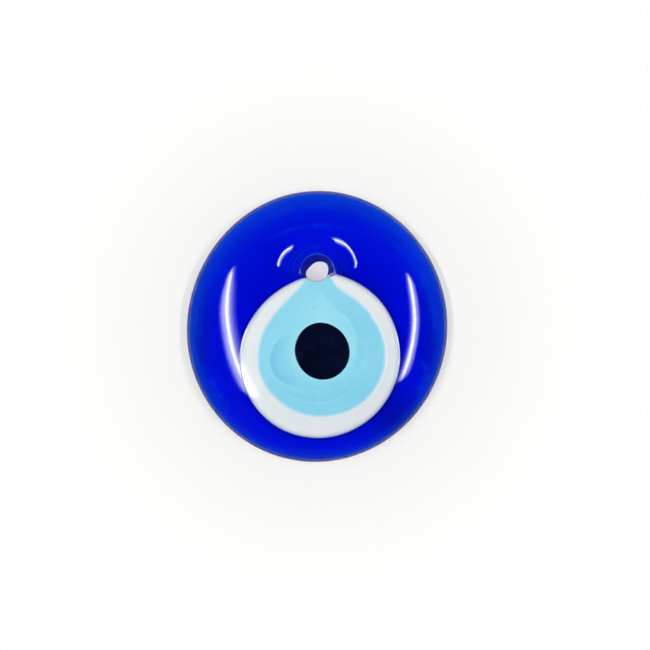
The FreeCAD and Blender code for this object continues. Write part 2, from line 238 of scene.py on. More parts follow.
def ray_to_level(th, q):
    """Distance from the hole's axis, along each azimuth, to the closed line level == q."""
    lo, hi = np.full(th.shape, 3.0), np.full(th.shape, 60.0)
    for _ in range(44):
        mid = 0.5 * (lo + hi)
        over = level(HX + mid * np.cos(th), HY + mid * np.sin(th)) > q
        hi = np.where(over, mid, hi)
        lo = np.where(over, lo, mid)
    return 0.5 * (lo + hi)


# =====================================================================================
# Cobalt disc: one closed skin from the throat, over the face, round the rim and back
# =====================================================================================
def build_disc():
    n = 720
    th = np.arange(n) * 2 * math.pi / n
    c, s = np.cos(th), np.sin(th)
    rings = []                                   # each: x, y, z arrays

    def add(rho, z):
        rings.append((HX + rho * c, HY + rho * s, np.broadcast_to(z, th.shape).astype(float)))

    thr = throat(th)
    # throat, from the back upwards: softly belled out at the back
    top = throat_top(th)
    for z in [0.0, 0.02, 0.06, 0.12, 0.2, 0.3]:
        add(thr + 0.34 * (1 - math.sqrt(max(0.0, 1 - (1 - z / 0.45) ** 2))), z)
    for t in np.linspace(0.0, 1.0, 24)[:-1]:
        z = 0.45 + (top - 0.45) * t
        add(thr + 0.05 * np.sin(3 * th + 2.0 * z) * math.sin(math.pi * t), z)
    # cone wall, lip and sunk ring
    for b in np.concatenate([np.arange(0.0, 3.2, 0.06), np.arange(3.2, 8.6, 0.12)]):
        fade = 1 - smoothstep(0.0, 4.0, b)
        rho = 2.44 + b + (thr - 2.44) * fade
        add(rho, skin(HX + rho * c, HY + rho * s))
    rho0 = 2.44 + 8.6
    rho1 = ray_to_level(th, 0.80)
    for t in np.linspace(0, 1, 62)[:-1]:
        rho = rho0 + (rho1 - rho0) * t
        add(rho, skin(HX + rho * c, HY + rho * s))
    # crown, shoulder and edge, in even steps along the section
    arc = np.concatenate([[0], np.cumsum(np.hypot(np.diff(SEC_Q * R_MEAN), np.diff(SEC_Z)))])
    a0 = np.interp(0.80, SEC_Q, arc)
    for a in np.linspace(a0, arc[-1], 72):
        q, z = np.interp(a, arc, SEC_Q), np.interp(a, arc, SEC_Z)
        rho = ray_to_level(th, min(q, 1.0))
        x, y = HX + rho * c, HY + rho * s
        add(rho, skin(x, y) if q < 0.97 else z + 0.0 * x)
    # heel: from the widest line down to the flat back
    for t in np.linspace(0, math.pi / 2, 22)[1:]:
        q = (R_MEAN - HEEL * (1 - math.cos(t))) / R_MEAN
        add(ray_to_level(th, q), WIDEST - HEEL * math.sin(t))
    # flat back, with the faint marks of the plate it was pressed on
    rho_b = ray_to_level(th, (R_MEAN - HEEL) / R_MEAN)
    rho_t = rings[0][0][0] * 0 + np.hypot(rings[0][0] - HX, rings[0][1] - HY)
    for t in np.linspace(0, 1, 60)[1:-1]:
        rho = rho_b + (rho_t - rho_b) * t
        x, y = HX + rho * c, HY + rho * s
        lift = 0.035 * (0.5 + 0.5 * np.sin(0.9 * x + 1.3 * np.sin(0.5 * y))) * math.sin(math.pi * t) ** 0.5
        add(rho, lift)
    m = len(rings)
    P = np.array([np.stack(r, axis=1) for r in rings])            # m, n, 3
    verts = P.reshape(-1, 3)
    faces = []
    for k in range(m):
        k2 = (k + 1) % m
        for j in range(n):
            j2 = (j + 1) % n
            faces.append((k * n + j, k * n + j2, k2 * n + j2, k2 * n + j))
    ob = make_mesh("cobalt_disc", verts, faces)
    return ob


# =====================================================================================
# Fused layers: plates let into the face, their edges melting into the layer below
# =====================================================================================
EYE = (1.83, 0.30)      # where the line of sight is square to the bead
SHRINK = 0.9856         # outlines are traced as seen; at the crown they lie this much closer in


def pulled(c):
    return (EYE[0] + (c[0] - EYE[0]) * SHRINK, EYE[1] + (c[1] - EYE[1]) * SHRINK)


def build_layer(name, centre, curve, proud, depth, clip, n=600, rings=110, power=1.7, dense=0.72, melt=0.30, grow=0.0):
    v = (np.arange(n) + 0.5) / n - 0.5
    deg = 90.0 + 360.0 * (v - dense * np.sin(2 * math.pi * v) / (2 * math.pi))
    th = np.radians(deg)
    R = curve(deg)
    px, py = centre[0] + R * np.cos(th), centre[1] + R * np.sin(th)
    centre = pulled(centre)
    f = (418.2 - skin(px, py)) / 415.8
    px, py = EYE[0] + (px - EYE[0]) * f - centre[0], EYE[1] + (py - EYE[1]) * f - centre[1]
    th, R = np.arctan2(py, px), np.hypot(px, py) + grow
    if clip:
        R = np.minimum(R, along_ray_to_throat(centre[0], centre[1], np.degrees(th)))
    u = np.linspace(0, 1, rings + 1)[1:]
    t = 1 - (1 - u) ** power
    X = centre[0] + np.outer(t, R * np.cos(th))
    Y = centre[1] + np.outer(t, R * np.sin(th))
    rim_mm = (1 - t)[:, None] * R[None, :]
    Z = skin(X, Y) + proud * smoothstep(0.0, melt, rim_mm) + 0.003
    zc = float(skin(np.array([centre[0]]), np.array([centre[1]]))[0]) + proud + 0.003
    verts = [(centre[0], centre[1], zc)]
    verts += list(np.stack([X, Y, Z], axis=2).reshape(-1, 3))
    rim = [0.0]
    rim_values = [float(R.mean())] + list(rim_mm.reshape(-1))
    faces = []
    for j in range(n):
        faces.append((0, 1 + j, 1 + (j + 1) % n))
    for k in range(rings - 1):
        for j in range(n):
            j2 = (j + 1) % n
            a, b = 1 + k * n, 1 + (k + 1) * n
            faces.append((a + j, b + j, b + j2, a + j2))
    # wall going down into the glass below, and a lens-shaped underside
    prev = 1 + (rings - 1) * n
    start = len(verts)
    xe, ye, ze = X[-1], Y[-1], Z[-1]
    inward = 0.0
    rows = []
    for w in (0.12, 0.35, 0.6):
        rows.append((1 - 0.010 * w, w))
    for tt in (0.985, 0.96, 0.92, 0.85, 0.74, 0.6, 0.42, 0.22):
        rows.append((tt, None))
    for tt, w in rows:
        x = centre[0] + R * np.cos(th) * tt
        y = centre[1] + R * np.sin(th) * tt
        if w is not None:
            z = ze - 0.45 * depth * w
        else:
            z = skin(x, y) - depth * (0.45 + 0.55 * (1 - tt ** 4) ** 0.5)
        z = np.maximum(np.minimum(z, skin(x, y) - 0.05), 2.4)
        verts += list(np.stack([x, y, z], axis=1))
        rim_values += [0.0] * n
        base = start
        for j in range(n):
            j2 = (j + 1) % n
            faces.append((prev + j, base + j, base + j2, prev + j2))
        prev = base
        start += n
    zb = float(skin(np.array([centre[0]]), np.array([centre[1]]))[0]) - depth
    verts.append((centre[0], centre[1], zb))
    rim_values.append(0.0)
    last = len(verts) - 1
    for j in range(n):
        faces.append((prev + j, last, prev + (j + 1) % n))
    ob = make_mesh(name, verts, faces)
    attribute(ob, "rim_mm", rim_values)
    w = np.array(verts)
    hole = np.hypot(w[:, 0] - HX, w[:, 1] - HY)
    clear = smoothstep(2.75, 4.3, hole)
    attribute(ob, "melt", (1 - smoothstep(0.0, 1.30, np.array(rim_values))) * clear)
    # painted shade: a thin grey-blue line on the layer's edge at the opening
    attribute(ob, "lip", (1 - smoothstep(0.0, 0.16, np.array(rim_values))) * (1 - smoothstep(2.75, 3.3, hole)))
    return ob


disc = build_disc()
white = build_layer("white_layer", WHITE_C, white_curve, 0.02, 2.2, True, grow=0.10)
blue = build_layer("light_blue_layer", BLUE_C, blue_curve, 0.05, 1.4, True, grow=0.52)
pupil = build_layer("pupil_drop", PUPIL_C, pupil_curve, 0.08, 1.0, False, n=360, rings=70, dense=0.0, grow=0.17)


def fix_normals(ob):
    import bmesh
    bm = bmesh.new()
    bm.from_mesh(ob.data)
    bmesh.ops.recalc_face_normals(bm, faces=bm.faces)
    bm.to_mesh(ob.data)
    bm.free()
    ob.data.polygons.foreach_set("use_smooth", [True] * len(ob.data.polygons))


for ob in (disc, white, blue, pupil):
    fix_normals(ob)


def co(ob):
    a = np.zeros(len(ob.data.vertices) * 3, np.float32)
    ob.data.vertices.foreach_get("co", a)
    return a.reshape(-1, 3).astype(float) / MM


def to_polyline(x, y, pts):
    """Distance to a polyline, the side (+ left of its direction) and the share of its length."""
    best = np.full(x.shape, 1e9)
    side, along = np.zeros_like(x), np.zeros_like(x)
    pts = np.array(pts, float)
    seg = np.hypot(*(pts[1:] - pts[:-1]).T)
    cum = np.concatenate([[0], np.cumsum(seg)])
    for k in range(len(pts) - 1):
        a, d = pts[k], (pts[k + 1] - pts[k]) / seg[k]
        t = np.clip((x - a[0]) * d[0] + (y - a[1]) * d[1], 0, seg[k])
        px, py = x - a[0] - t * d[0], y - a[1] - t * d[1]
        r = np.hypot(px, py)
        m = r < best
        best = np.where(m, r, best)
        side = np.where(m, np.sign(d[0] * py - d[1] * px), side)
        along = np.where(m, (cum[k] + t) / cum[-1], along)
    return best, side, along


def curved(pts, n=60):
    """Smooth curve (Catmull-Rom) through a few points."""
    p = [np.array(q, float) for q in pts]
    p = [2 * p[0] - p[1]] + p + [2 * p[-1] - p[-2]]
    out = []
    for i in range(1, len(p) - 2):
        for t in np.linspace(0, 1, n // (len(p) - 3), endpoint=False):
            out.append(0.5 * (2 * p[i] + (p[i + 1] - p[i - 1]) * t
                              + (2 * p[i - 1] - 5 * p[i] + 4 * p[i + 1] - p[i + 2]) * t * t
                              + (3 * p[i] - p[i - 1] - 3 * p[i + 1] + p[i + 2]) * t ** 3))
    out.append(p[-2])
    return out


def blue_tone(x, y):
    """Flow marks of the poured light blue glass: 0 deep, 0.5 plain, 1 milky."""
    tone = np.full(x.shape, 0.50)
    # milky wedge pulled down from the hole to the pupil, bounded on the right by a fine seam
    seam = curved([(0.9, 8.9), (1.3, 7.8), (4.1, 4.3), (6.45, 2.6), (8.45, 0.0), (9.2, -3.2), (9.0, -6.6), (7.6, -9.6)])
    d, sd, al = to_polyline(x, y, seam)
    left, right = sd < 0, sd > 0
    fade = smoothstep(0.0, 0.12, al) * (1 - smoothstep(0.75, 1.0, al))
    tone += np.where(sd < 0, 0.15 * np.exp(-d / 5.5), -0.09 * np.exp(-d / 3.0)) * fade * (al < 0.999) * (d < 14)
    tone -= 0.07 * np.exp(-(d / 0.20) ** 2) * fade
    wedge = np.exp(-((x - 0.2) / 4.2) ** 2 - ((y - 3.6) / 3.6) ** 2)
    tone += 0.20 * wedge
    # deeper crescent left of the pupil: sharp outer edge, melting inward
    cres = curved([(-6.9, -1.6), (-9.1, -3.6), (-10.35, -6.2), (-10.55, -8.9), (-9.2, -11.7), (-6.2, -13.3), (-4.3, -13.5)])
    d, sd, al = to_polyline(x, y, cres)
    body = np.sin(math.pi * np.clip(al, 0, 1)) ** 0.6
    inner = np.where(sd > 0, np.exp(-(d / 2.0) ** 1.5), np.exp(-(d / 0.22) ** 2))
    tone -= 0.36 * inner * body
    tone += 0.10 * np.where(sd < 0, np.exp(-((d - 0.5) / 0.4) ** 2), 0) * body
    # thin arcs turning round the pupil below and at the sides
    for pts, w, amp in (([(-10.4, -12.9), (-6.0, -15.8), (-1.6, -16.85), (3.0, -16.7), (7.0, -14.4), (9.6, -11.0)], 0.24, -0.10),
                        ([(-9.4, -13.9), (-5.6, -16.5), (-1.0, -17.6), (3.6, -17.3), (7.8, -15.0)], 0.30, 0.10),
                        ([(-9.0, -12.6), (-6.2, -14.3), (-3.0, -14.9), (1.0, -15.0)], 0.30, 0.09),
                        ([(-12.3, -3.0), (-12.2, -8.0), (-11.0, -12.0)], 0.35, 0.07),
                        ([(-9.4, 1.4), (-11.4, -1.4), (-12.4, -4.2)], 0.30, -0.07),
                        ([(10.6, -1.0), (11.2, -5.0), (10.7, -9.0), (8.6, -12.6)], 0.5, 0.06)):
        d, sd, al = to_polyline(x, y, curved(pts))
        tone += amp * np.exp(-(d / w) ** 2) * np.sin(math.pi * np.clip(al, 0, 1)) ** 0.7
    # slow drift: deeper to the right and the bottom, milky round the pupil
    tone -= 0.06 * smoothstep(2.0, 13.0, x) + 0.13 * smoothstep(9.0, 16.0, -y)
    tone += 0.17 * np.exp(-((np.hypot(x - PUPIL_C[0], y - PUPIL_C[1]) - 6.6) / 1.0) ** 2)
    # small specks
    for cx, cy, r, a in ((-0.75, 4.35, 0.30, -0.55), (11.85, 2.75, 0.28, -0.6), (-3.0, 10.3, 0.25, -0.9), (9.6, 1.9, 0.18, -0.2)):
        tone += a * np.exp(-((x - cx) ** 2 + (y - cy) ** 2) / r ** 2)
    return np.clip(tone, 0, 1)


P = co(blue)
attribute(blue, "tone", blue_tone(EYE[0] + (P[:, 0] - EYE[0]) / SHRINK, EYE[1] + (P[:, 1] - EYE[1]) / SHRINK))
P = co(disc)
q, az = level(P[:, 0], P[:, 1]), np.arctan2(P[:, 1], P[:, 0])
attribute(disc, "level", q)
# how far the paler, greener rim reaches in: the rim glass is thinner, and the band is also painted light, reaching wide
# at the top, and painted shade, kept narrow at the bottom
reach = 0.75 + 2.15 * smoothstep(-0.85, 0.95, np.sin(az)) + 0.35 * smoothstep(0.6, 1.0, -np.cos(az))
attribute(disc, "pale", np.exp(-np.clip(q * 0 + (1 - q) * R_MEAN - 1.2, 0, None) / reach))

ph, rho = np.arctan2(P[:, 1] - HY, P[:, 0] - HX), np.hypot(P[:, 0] - HX, P[:, 1] - HY)
# how far up the wall from the opening to the lip; the bore's painted shade follows it
attribute(disc, "climb", np.clip((rho - throat(ph)) / (lip(ph) - throat(ph)), 0, 1))
# painted highlight: a thin light-blue line along the lip, faded out on the lower side
attribute(disc, "painted_lip_highlight", np.exp(-((rho - lip(ph) + 0.17) / 0.08) ** 2) * (1 - smoothstep(88.0, 118.0, off_up(ph)))
          * (0.45 + 0.55 * smoothstep(-0.4, 0.7, np.cos(ph - 1.0))))
# painted shade: the cobalt's colour is darkened just outside the white layer's outline, where the opal layers lie over
# it and shade it
wc = pulled(WHITE_C)
d_white = (np.hypot(P[:, 0] - wc[0], P[:, 1] - wc[1])
           - SHRINK * white_curve(np.degrees(np.arctan2(P[:, 1] - wc[1], P[:, 0] - wc[0]))))
attribute(disc, "shade", np.exp(-(np.clip(d_white, 0, None) / 0.55) ** 1.5) * smoothstep(4.5, 7.0, rho))



def bell(x, y, cx, cy, sx, sy):
    return np.exp(-((x - cx) / sx) ** 2 - ((y - cy) / sy) ** 2)


# darker cobalt down both flanks, at the bottom rim and in patches beside the hole, and most at the lower right, where
# the darkening is painted shade below the white layer
X, Y = P[:, 0], P[:, 1]
attribute(disc, "darker_tone", np.clip(0.85 * bell(X, Y, 18.5, -21.0, 6.5, 5.5) + 0.55 * bell(X, Y, 26.3, -3.0, 2.6, 14.0)
                                + 0.55 * bell(X, Y, -26.6, -3.0, 2.6, 13.0) + 0.30 * bell(X, Y, 12.0, 7.5, 6.0, 6.0)
                                + 0.25 * bell(X, Y, -15.0, 8.0, 5.0, 5.0) + 0.40 * bell(X, Y, -7.5, 14.0, 4.5, 4.5)
                                + 0.30 * bell(X, Y, 6.5, 13.5, 3.5, 4.5) + 0.12 * bell(X, Y, 0.0, -29.0, 9.0, 3.0), 0, 1))
# streaks of the gather drawn round the rim, and the turning marks of the punch round the hole
flow = np.zeros(X.shape)
shoulder = q > 0.70
for pts, w, amp in (([(19.5, 18.5), (22.6, 14.0), (25.3, 7.0), (26.6, 1.0), (26.4, -4.0)], 0.42, 0.95),
                    ([(16.5, 19.6), (19.8, 16.2), (22.2, 12.2), (24.0, 7.0)], 0.30, 0.55),
                    ([(23.6, -7.4), (24.6, -11.0), (22.4, -15.4)], 0.45, 0.65),
                    ([(28.0, 3.0), (28.4, -2.0), (28.0, -7.0)], 0.28, 0.45),
                    ([(-25.4, 11.4), (-27.3, 5.2), (-28.0, -1.0), (-27.6, -7.2), (-26.0, -12.6)], 0.40, 0.85),
                    ([(-26.0, 7.0), (-26.6, 2.0), (-26.5, -3.2)], 0.30, 0.6),
                    ([(-24.2, -11.0), (-22.4, -15.2), (-19.4, -18.8)], 0.5, 0.5),
                    ([(-14.0, 22.6), (-7.0, 26.2), (0.5, 27.6), (8.0, 26.6), (14.5, 23.0)], 0.7, 0.5),
                    ([(-12.0, 19.0), (-5.0, 22.2), (2.0, 23.0), (9.0, 21.6)], 0.45, 0.30),
                    ([(-8.0, -27.2), (0.0, -28.5), (8.0, -27.6)], 0.4, 0.25)):
    d, sd, al = to_polyline(X[shoulder | (Y > 17)], Y[shoulder | (Y > 17)], curved(pts, 24))
    wave = 1 + 0.35 * np.sin(19.0 * al + 7.0 * amp) + 0.2 * np.sin(47.0 * al)
    flow[shoulder | (Y > 17)] += amp * wave * np.exp(-(d / w) ** 2) * np.sin(math.pi * np.clip(al, 0, 1)) ** 0.7
az_h = np.degrees(ph) % 360.0
for r0, w, lo, hi, amp in ((5.42, 0.13, 62, 215, 0.60), (4.86, 0.10, 120, 232, 0.75), (6.35, 0.22, 70, 205, 0.35), (7.2, 0.16, 96, 178, 0.22),
                           (5.9, 0.10, 330, 396, 0.35), (6.9, 0.2, 338, 392, 0.30), (8.3, 0.35, 110, 190, 0.25)):
    u = np.clip(((az_h - lo) % 360.0) / (hi - lo), 0, 1)
    flow += amp * np.exp(-((rho - r0 - 0.12 * np.sin(2.3 * ph + r0)) / w) ** 2) * np.sin(math.pi * u) ** 0.8
attribute(disc, "flow", np.clip(flow, 0, 1))

# the pierced wall is scorched and dull: its own material on those faces of the disc
mesh = disc.data
cen = np.zeros(len(mesh.polygons) * 3, np.float32)
mesh.polygons.foreach_get("center", cen)
cen = cen.reshape(-1, 3).astype(float) / MM
ph, rho = np.arctan2(cen[:, 1] - HY, cen[:, 0] - HX), np.hypot(cen[:, 0] - HX, cen[:, 1] - HY)
in_bore = (cen[:, 2] > 0.12) & (((rho < lip(ph) - 0.10) & (off_up(ph) < 128)) | (rho < throat(ph) + 0.12))

# =====================================================================================
# Materials
# =====================================================================================
def new_material(name):
    mat = bpy.data.materials.new(name)
    mat.use_nodes = True
    nt = mat.node_tree
    nt.nodes.clear()
    out = nt.nodes.new("ShaderNodeOutputMaterial")
    return mat, nt, out


def principled(nt, out, **values):
    b = nt.nodes.new("ShaderNodeBsdfPrincipled")
    for k, v in values.items():
        b.inputs[k.replace("_", " ")].default_value = v
    nt.links.new(b.outputs["BSDF"], out.inputs["Surface"])
    return b


def srgb(r, g, b, a=1.0):
    f = lambda c: (c / 255.0 / 12.92) if c / 255.0 <= 0.04045 else ((c / 255.0 + 0.055) / 1.055) ** 2.4
    return (f(r), f(g), f(b), a)


def node(nt, kind, **sets):
    n = nt.nodes.new(kind)
    for k, v in sets.items():
        setattr(n, k, v)
    return n


def noise(nt, coord, scale, detail=3.0, rough=0.5, distortion=0.0):
    n = node(nt, "ShaderNodeTexNoise")
    n.inputs["Scale"].default_value = scale
    n.inputs["Detail"].default_value = detail
    n.inputs["Roughness"].default_value = rough
    n.inputs["Distortion"].default_value = distortion
    nt.links.new(coord, n.inputs["Vector"])
    return n.outputs["Fac"]


def mapping(nt, coord, scale):
    m = node(nt, "ShaderNodeMapping")
    m.inputs["Scale"].default_value = scale
    nt.links.new(coord, m.inputs["Vector"])
    return m.outputs["Vector"]


def math_node(nt, op, a, b=None, clamp=False):
    m = node(nt, "ShaderNodeMath", operation=op, use_clamp=clamp)
    for sock, v in zip(m.inputs, (a, b)):
        if v is None:
            continue
        if hasattr(v, "links"):
            nt.links.new(v, sock)
        else:
            sock.default_value = v
    return m.outputs[0]


def spread(nt, value, lo, hi, out_lo, out_hi):
    m = node(nt, "ShaderNodeMapRange", clamp=True)
    nt.links.new(value, m.inputs["Value"])
    for k, v in (("From Min", lo), ("From Max", hi), ("To Min", out_lo), ("To Max", out_hi)):
        m.inputs[k].default_value = v
    return m.outputs["Result"]


def color_ramp(nt, fac, stops):
    r = node(nt, "ShaderNodeValToRGB")
    cr = r.color_ramp
    while len(cr.elements) > 1:
        cr.elements.remove(cr.elements[-1])
    for i, (pos, col) in enumerate(stops):
        e = cr.elements[0] if i == 0 else cr.elements.new(pos)
        e.position, e.color = pos, col
    nt.links.new(fac, r.inputs["Fac"])
    return r.outputs["Color"]


def mix_color(nt, fac, a, b, blend="MIX"):
    m = node(nt, "ShaderNodeMix", data_type="RGBA", blend_type=blend)
    for sock, v in ((m.inputs[0], fac), (m.inputs[6], a), (m.inputs[7], b)):
        if hasattr(v, "links"):
            nt.links.new(v, sock)
        else:
            sock.default_value = v
    return m.outputs[2]


def attr(nt, name):
    a = node(nt, "ShaderNodeAttribute", attribute_name=name)
    return a.outputs["Fac"]


def object_coord(nt):
    return node(nt, "ShaderNodeTexCoord").outputs["Object"]


def bump(nt, height, distance, strength=1.0):
    b = node(nt, "ShaderNodeBump")
    b.inputs["Strength"].default_value = strength
    b.inputs["Distance"].default_value = distance
    nt.links.new(height, b.inputs["Height"])
    return b.outputs["Normal"]


# --- cobalt: clear deep glass that swallows red and green, with streaks from the pour
mat_cobalt, nt, out = new_material("cobalt_glass")
p = principled(nt, out, Base_Color=(1, 1, 1, 1), Roughness=0.0, IOR=1.5, Transmission_Weight=1.0)
p.inputs["Coat Weight"].default_value = 0.2
p.inputs["Coat Roughness"].default_value = 0.02
p.inputs["Coat IOR"].default_value = 1.5
va = nt.nodes.new("ShaderNodeVolumeAbsorption")
va.inputs["Color"].default_value = (0.0, 0.755, 0.999, 1)
va.inputs["Density"].default_value = 1000.0
nt.links.new(va.outputs[0], out.inputs["Volume"])
oc = object_coord(nt)
sep = node(nt, "ShaderNodeSeparateXYZ")
nt.links.new(oc, sep.inputs[0])
q = attr(nt, "level")
cmb = node(nt, "ShaderNodeCombineXYZ")
nt.links.new(math_node(nt, "MULTIPLY", q, 0.60), cmb.inputs[0])
nt.links.new(math_node(nt, "MULTIPLY", math_node(nt, "ARCTAN2", sep.outputs["Y"], sep.outputs["X"]), 0.010), cmb.inputs[1])
streak = noise(nt, cmb.outputs[0], 90.0, 5.0, 0.6, 0.6)
cloud = noise(nt, oc, 70.0, 3.0, 0.5, 0.8)
streak_on = math_node(nt, "MULTIPLY", spread(nt, q, 0.74, 0.90, 0.0, 1.0), spread(nt, streak, 0.42, 0.66, 0.0, 1.0))
tint = mix_color(nt, streak_on, (1, 1, 1, 1), (0.80, 0.86, 0.97, 1))
tint = mix_color(nt, spread(nt, cloud, 0.38, 0.68, 0.0, 0.5), tint, (0.90, 0.90, 0.96, 1), "MULTIPLY")
# paler, greener rim: thinner rim glass plus painted light glowing through it, wide at the top and narrow where the
# bottom lies in shade
pale = color_ramp(nt, attr(nt, "pale"), [(0.0, (1, 0.05, 1, 1)), (0.12, (1, 0.080, 1, 1)), (0.5, (0.8, 0.22, 0.96, 1)), (1.0, (0.36, 0.38, 0.98, 1))])
tint = mix_color(nt, 1.0, tint, pale, "MULTIPLY")
# darker patches; the lower right one is painted shade
tint = mix_color(nt, attr(nt, "darker_tone"), tint, (0.7, 0.75, 0.60, 1), "MULTIPLY")
seeds = node(nt, "ShaderNodeTexVoronoi", feature="F1")
seeds.inputs["Scale"].default_value = 620.0
nt.links.new(oc, seeds.inputs["Vector"])
seed_on = math_node(nt, "MULTIPLY", spread(nt, seeds.outputs["Distance"], 0.10, 0.20, 1.0, 0.0),
                    spread(nt, noise(nt, oc, 85.0, 2.0, 0.5), 0.60, 0.70, 0.0, 0.8))
lighten = math_node(nt, "ADD", math_node(nt, "MULTIPLY", attr(nt, "flow"), spread(nt, noise(nt, oc, 330.0, 4.0, 0.6), 0.3, 0.7, 0.55, 1.0)), seed_on, clamp=True)
tint = mix_color(nt, lighten, tint, (0.95, 0.38, 1.0, 1))
# painted shade next to the white layer's outline, multiplied into the cobalt's tint
nt.links.new(mix_color(nt, spread(nt, attr(nt, "shade"), 0.0, 1.0, 0.0, 0.75), tint, (0.5, 0.5, 0.42, 1), "MULTIPLY"), p.inputs["Base Color"])
ground = spread(nt, sep.outputs["Z"], 0.0001, 0.0009, 0.32, 0.0)
fine = spread(nt, noise(nt, oc, 900.0, 2.0), 0.35, 0.75, 0.0, 0.018)
nt.links.new(math_node(nt, "ADD", ground, fine), p.inputs["Roughness"])
ripple = noise(nt, oc, 210.0, 2.0, 0.4)
nt.links.new(bump(nt, ripple, 0.00002, 0.6), p.inputs["Normal"])

# --- white: dense opal glass, greyer where its edge thins out over the cobalt, with painted shade towards the lower right
mat_white, nt, out = new_material("white_glass")
p = principled(nt, out, Base_Color=srgb(231, 236, 238), Roughness=0.04, IOR=1.5)
p.inputs["Coat Weight"].default_value = 0.4
p.inputs["Coat Roughness"].default_value = 0.02
p.inputs["Coat IOR"].default_value = 1.5
oc = object_coord(nt)
rim = attr(nt, "rim_mm")
edge_noise = noise(nt, oc, 420.0, 3.0, 0.6)
rim_n = math_node(nt, "ADD", rim, spread(nt, edge_noise, 0.3, 0.7, -0.06, 0.06))
base = color_ramp(nt, spread(nt, noise(nt, oc, 160.0, 4.0, 0.55, 1.2), 0.3, 0.7, 0.0, 1.0),
                  [(0.0, srgb(223, 230, 233)), (0.5, srgb(227, 232, 236)), (1.0, srgb(230, 234, 237))])
thin = color_ramp(nt, spread(nt, rim_n, 0.0, 1.2, 0.0, 1.0),
                  [(0.0, srgb(150, 162, 205)), (0.16, srgb(196, 203, 222)), (0.5, srgb(236, 239, 245)), (1.0, (1, 1, 1, 1))])
sep = node(nt, "ShaderNodeSeparateXYZ")
nt.links.new(oc, sep.inputs[0])
# painted shade: the white darkens towards the lower right
lean = math_node(nt, "SUBTRACT", sep.outputs["X"], sep.outputs["Y"])
painted_side_shade = color_ramp(nt, spread(nt, lean, -0.016, 0.036, 0.0, 1.0), [(0.0, (1, 1, 1, 1)), (0.55, (0.955, 0.955, 0.965, 1)), (1.0, (0.90, 0.905, 0.92, 1))])
base = mix_color(nt, 1.0, base, painted_side_shade, "MULTIPLY")
nt.links.new(mix_color(nt, 1.0, base, thin, "MULTIPLY"), p.inputs["Base Color"])
nt.links.new(spread(nt, noise(nt, oc, 700.0, 2.0), 0.35, 0.75, 0.02, 0.07), p.inputs["Roughness"])
nt.links.new(bump(nt, noise(nt, oc, 210.0, 2.0, 0.4), 0.00002, 0.6), p.inputs["Normal"])

# --- light blue: opal glass with flow marks, melting into the white at its edge
mat_blue, nt, out = new_material("light_blue_glass")
p = principled(nt, out, Base_Color=srgb(140, 216, 238), Roughness=0.04, IOR=1.5)
p.inputs["Coat Weight"].default_value = 0.4
p.inputs["Coat Roughness"].default_value = 0.02
p.inputs["Coat IOR"].default_value = 1.5
oc = object_coord(nt)
tone = attr(nt, "tone")
cloud = noise(nt, oc, 230.0, 5.0, 0.6, 1.4)
tone_n = math_node(nt, "ADD", tone, spread(nt, cloud, 0.3, 0.7, -0.05, 0.05), clamp=True)
body = color_ramp(nt, tone_n, [(0.0, srgb(108, 190, 224)), (0.25, srgb(126, 202, 229)), (0.5, srgb(141, 213, 235)),
                               (0.75, srgb(151, 219, 236)), (1.0, srgb(163, 225, 238))])
rim = attr(nt, "rim_mm")
melt = spread(nt, math_node(nt, "ADD", attr(nt, "melt"), spread(nt, noise(nt, oc, 330.0, 4.0, 0.6), 0.3, 0.7, -0.07, 0.07)), 0.05, 0.95, 0.0, 1.0)
body = mix_color(nt, melt, body, srgb(223, 230, 234))
# painted shade: grey-blue line along the layer's edge at the opening
nt.links.new(mix_color(nt, attr(nt, "lip"), body, srgb(132, 150, 176)), p.inputs["Base Color"])
nt.links.new(spread(nt, noise(nt, oc, 700.0, 2.0), 0.35, 0.75, 0.02, 0.07), p.inputs["Roughness"])
nt.links.new(bump(nt, noise(nt, oc, 210.0, 2.0, 0.4), 0.00002, 0.6), p.inputs["Normal"])

# --- pupil: near-black navy drop with a soft edge and the faintest cloud
mat_pupil, nt, out = new_material("dark_glass")
p = principled(nt, out, Base_Color=srgb(3, 8, 30), Roughness=0.03, IOR=1.5)
p.inputs["Coat Weight"].default_value = 0.4
p.inputs["Coat Roughness"].default_value = 0.02
p.inputs["Coat IOR"].default_value = 1.5
oc = object_coord(nt)
rim = attr(nt, "rim_mm")
body = color_ramp(nt, spread(nt, noise(nt, oc, 260.0, 4.0, 0.6, 1.0), 0.3, 0.7, 0.0, 1.0),
                  [(0.0, srgb(4, 8, 26)), (0.6, srgb(7, 13, 37)), (1.0, srgb(11, 21, 47))])
melt = spread(nt, math_node(nt, "ADD", rim, spread(nt, noise(nt, oc, 500.0, 3.0, 0.6), 0.3, 0.7, -0.06, 0.06)), 0.0, 0.32, 0.70, 0.0)
nt.links.new(mix_color(nt, melt, body, srgb(72, 96, 112)), p.inputs["Base Color"])
nt.links.new(spread(nt, noise(nt, oc, 700.0, 2.0), 0.35, 0.75, 0.02, 0.06), p.inputs["Roughness"])
nt.links.new(bump(nt, noise(nt, oc, 210.0, 2.0, 0.4), 0.00002, 0.6), p.inputs["Normal"])

# --- pierced wall: dull scorched navy, with painted shade deeper down the bore and a painted highlight along the lip
mat_bore, nt, out = new_material("scorched_bore")
p = principled(nt, out, Base_Color=srgb(2, 9, 120), Roughness=0.7, IOR=1.5)
p.inputs["Specular IOR Level"].default_value = 0.05
oc = object_coord(nt)
soot = spread(nt, noise(nt, mapping(nt, oc, (1, 1, 0.35)), 900.0, 5.0, 0.65), 0.32, 0.68, 0.0, 1.0)
darker_tone = color_ramp(nt, soot, [(0.0, srgb(0, 3, 110)), (0.5, srgb(0, 9, 160)), (1.0, srgb(2, 18, 196))])
high = color_ramp(nt, soot, [(0.0, srgb(1, 16, 196)), (1.0, srgb(8, 44, 236))])
